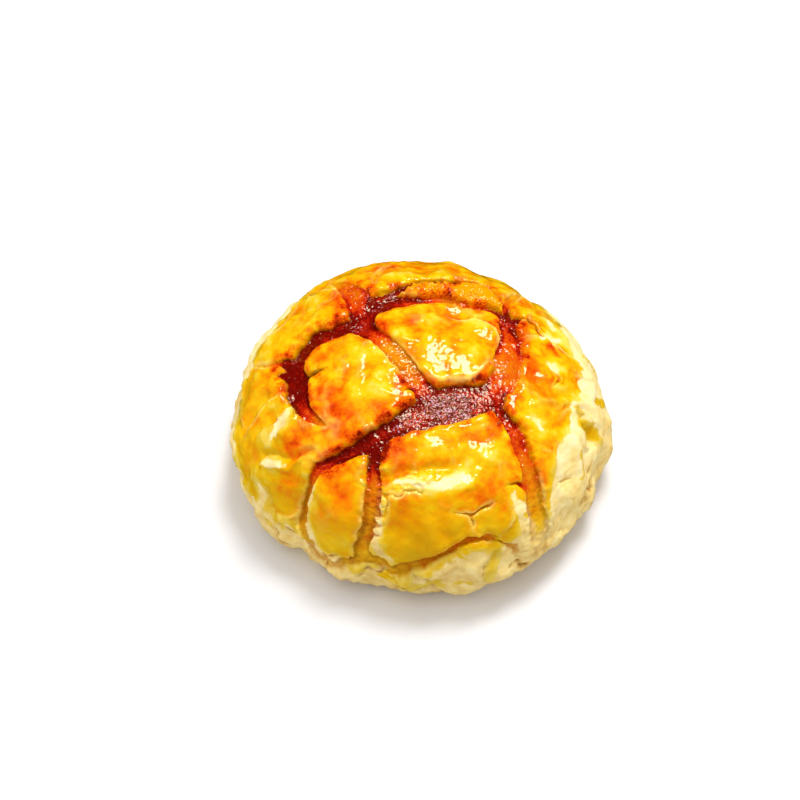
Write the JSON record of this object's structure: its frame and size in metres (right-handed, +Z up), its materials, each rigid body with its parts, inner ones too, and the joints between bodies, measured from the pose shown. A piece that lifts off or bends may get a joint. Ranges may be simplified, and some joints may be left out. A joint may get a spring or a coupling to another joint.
{
  "type": "pineapple bun",
  "caption": "Round pineapple bun: a domed soft roll whose glossy golden sugar crust has cracked into thick plates over dark cracks, pale round its foot, with a flat base.",
  "frame": {"origin": "on the flat foot, under the middle of the bun", "axes": "+Z up out of the top of the bun, -Y to the front, the side nearest the camera in the picture, and +X to the right of it"},
  "size_m": [0.107, 0.1032, 0.0475],
  "materials": {
    "baked_crust": "egg-washed baked crust"
  },
  "bodies": {
    "root": {"bun": "baked_crust"}
  },
  "joints": []
}
